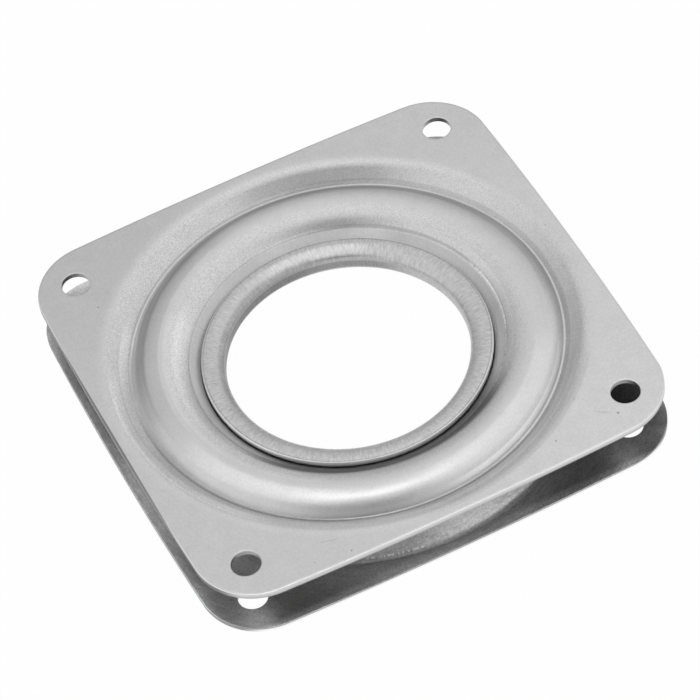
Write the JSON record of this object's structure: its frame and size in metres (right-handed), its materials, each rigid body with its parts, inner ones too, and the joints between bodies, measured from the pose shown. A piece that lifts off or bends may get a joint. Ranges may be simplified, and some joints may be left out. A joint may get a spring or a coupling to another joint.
{
  "type": "lazy susan bearing",
  "caption": "Square swivel bearing: pressed sheet-steel plates with corner fixing holes turn on a ring of loose balls round an open rolled centre neck.",
  "frame": {"origin": "on the swivel axis, in the bottom plate's mounting face", "axes": "+Z along the swivel axis towards the top plate, +X and +Y square to the plates' edges"},
  "size_m": [0.0772, 0.0772, 0.009],
  "materials": {
    "plate_steel": "satin galvanised sheet",
    "ball_steel": "polished"
  },
  "bodies": {
    "base": {"bottom_plate": "plate_steel"},
    "turntable": {"top_plate": "plate_steel"},
    "ball_ring": {"ball_01": "ball_steel", "ball_02": "ball_steel", "ball_03": "ball_steel", "ball_04": "ball_steel", "ball_05": "ball_steel", "ball_06": "ball_steel", "ball_07": "ball_steel", "ball_08": "ball_steel", "ball_09": "ball_steel", "ball_10": "ball_steel", "ball_11": "ball_steel", "ball_12": "ball_steel", "ball_13": "ball_steel", "ball_14": "ball_steel", "ball_15": "ball_steel", "ball_16": "ball_steel", "ball_17": "ball_steel", "ball_18": "ball_steel", "ball_19": "ball_steel", "ball_20": "ball_steel", "ball_21": "ball_steel", "ball_22": "ball_steel", "ball_23": "ball_steel", "ball_24": "ball_steel"}
  },
  "joints": [
    {"name": "swivel", "type": "hinge", "parent": "base", "child": "turntable", "pos_m": [0, 0, 0.0045], "axis": [0, 0, 1], "continuous": true},
    {"name": "ball_orbit", "type": "hinge", "parent": "base", "child": "ball_ring", "pos_m": [0, 0, 0.0045], "axis": [0, 0, 1], "continuous": true}
  ],
  "couplings": [
    {"joint": "ball_orbit", "follows": "swivel", "ratio": 0.5}
  ]
}
